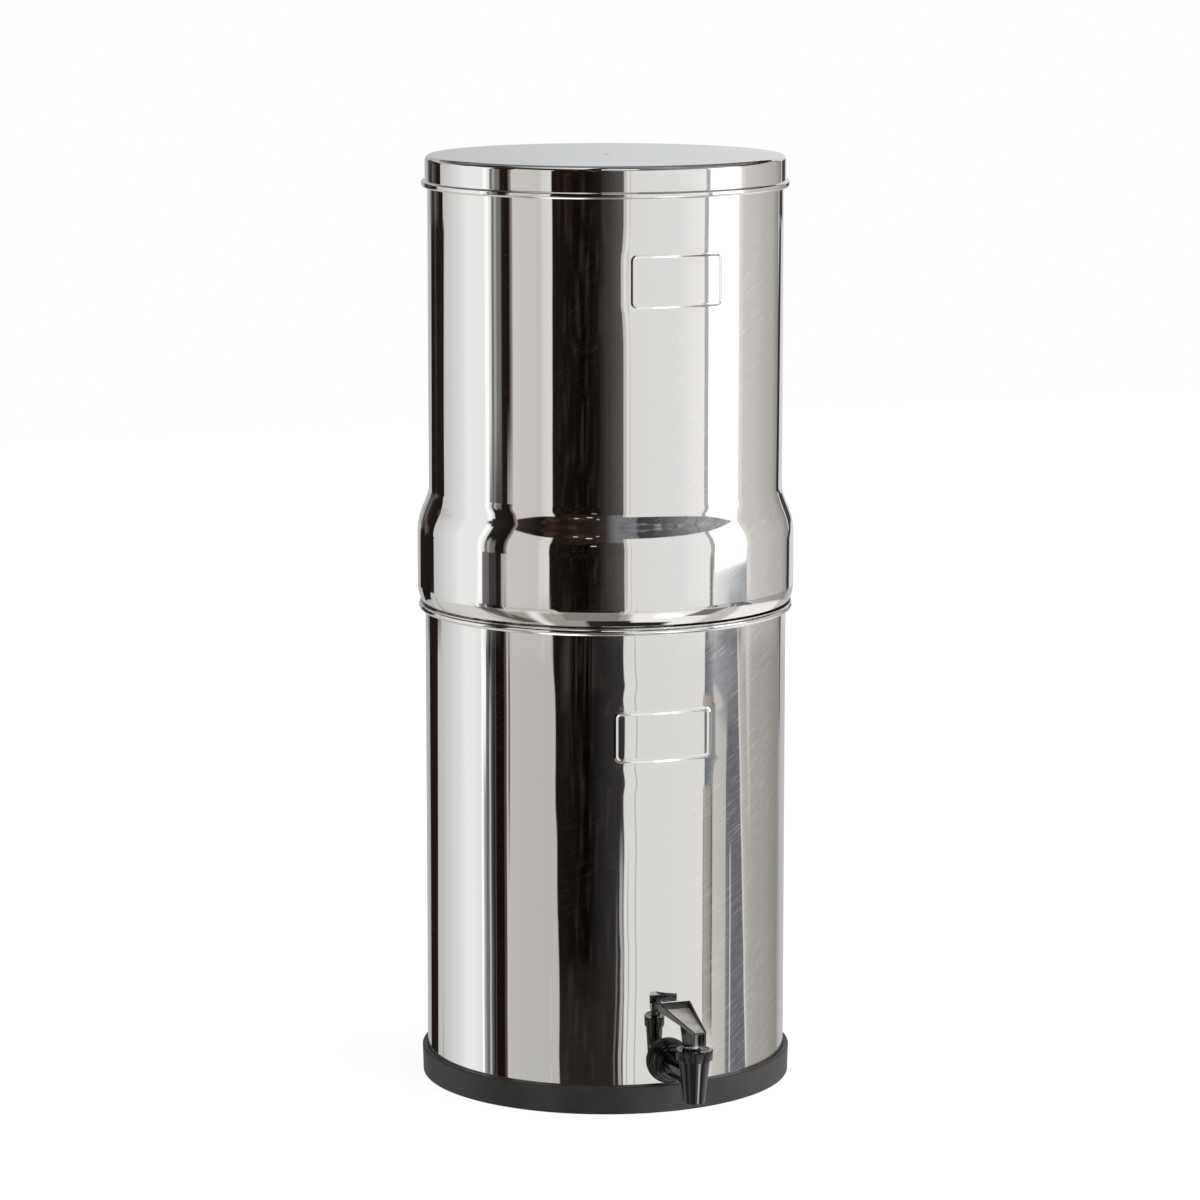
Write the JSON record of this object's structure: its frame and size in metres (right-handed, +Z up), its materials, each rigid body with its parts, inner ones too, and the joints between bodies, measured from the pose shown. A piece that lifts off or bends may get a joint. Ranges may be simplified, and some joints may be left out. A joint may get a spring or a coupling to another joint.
{
  "type": "gravity water filter with tap",
  "caption": "Tall polished steel gravity water filter: lower chamber with a lever tap, upper chamber with filter elements seated in its mouth, loose lid and rubber base ring.",
  "frame": {"origin": "centre of the base ring's underside, on the surface that the filter stands on", "axes": "+Z up along the chambers' axis; the tap points along -Y; X across"},
  "size_m": [0.2917, 0.3552, 0.7196],
  "materials": {
    "polished_steel": "mirror-polished stainless steel sheet",
    "ring_rubber": "satin charcoal rubber",
    "washer_rubber": "matte black rubber",
    "tap_plastic": "glossy black moulded plastic",
    "lever_plastic": "black moulded plastic with a textured recess",
    "stem_plastic": "pale translucent moulded plastic",
    "seat_silicone": "white silicone",
    "spring_steel": "drawn stainless wire",
    "base_plastic": "black moulded plastic",
    "filter_carbon": "porous pressed carbon"
  },
  "bodies": {
    "lower": {"base_ring": "ring_rubber", "lower_chamber": "polished_steel", "tap_outer_washer": "washer_rubber", "tap_inner_washer": "washer_rubber", "tap_shank_nut": "tap_plastic", "tap_body": "tap_plastic", "tap_bonnet": "tap_plastic", "tap_spring": "spring_steel"},
    "upper": {"upper_chamber": "polished_steel", "filter_washer_1": "washer_rubber", "filter_washer_2": "washer_rubber", "filter_washer_3": "washer_rubber", "filter_washer_4": "washer_rubber", "filter_base_1": "base_plastic", "filter_base_2": "base_plastic", "filter_base_3": "base_plastic", "filter_base_4": "base_plastic", "filter_element_1": "filter_carbon", "filter_element_2": "filter_carbon", "filter_element_3": "filter_carbon", "filter_element_4": "filter_carbon", "wing_nut_1": "base_plastic", "wing_nut_2": "base_plastic", "wing_nut_3": "base_plastic", "wing_nut_4": "base_plastic", "floor_plug_1": "washer_rubber", "floor_plug_2": "washer_rubber", "floor_plug_3": "washer_rubber", "floor_plug_4": "washer_rubber"},
    "lid": {"lid": "polished_steel"},
    "stem": {"tap_stem": "stem_plastic", "tap_seat_cup": "seat_silicone", "tap_lever_pin": "spring_steel"},
    "lever": {"tap_lever": "lever_plastic"}
  },
  "joints": [
    {"name": "chamber_lift", "type": "slide", "parent": "lower", "child": "upper", "axis": [0, 0, 1], "range_m": [0, 0.15]},
    {"name": "lid_lift", "type": "slide", "parent": "upper", "child": "lid", "axis": [0, 0, 1], "range_m": [0, 0.12]},
    {"name": "stem_lift", "type": "slide", "parent": "lower", "child": "stem", "axis": [0, 0, 1], "range_m": [0, 0.0032], "deforming": ["tap_spring"]},
    {"name": "lever_press", "type": "hinge", "parent": "stem", "child": "lever", "pos_m": [0, -0.195, 0.07], "axis": [-1, 0, 0], "range_deg": [0, 24], "stiffness_Nm_per_rad": 0.15, "springref_deg": -22.92}
  ],
  "couplings": [
    {"joint": "stem_lift", "follows": "lever_press", "m_per_rad": 0.0075}
  ]
}
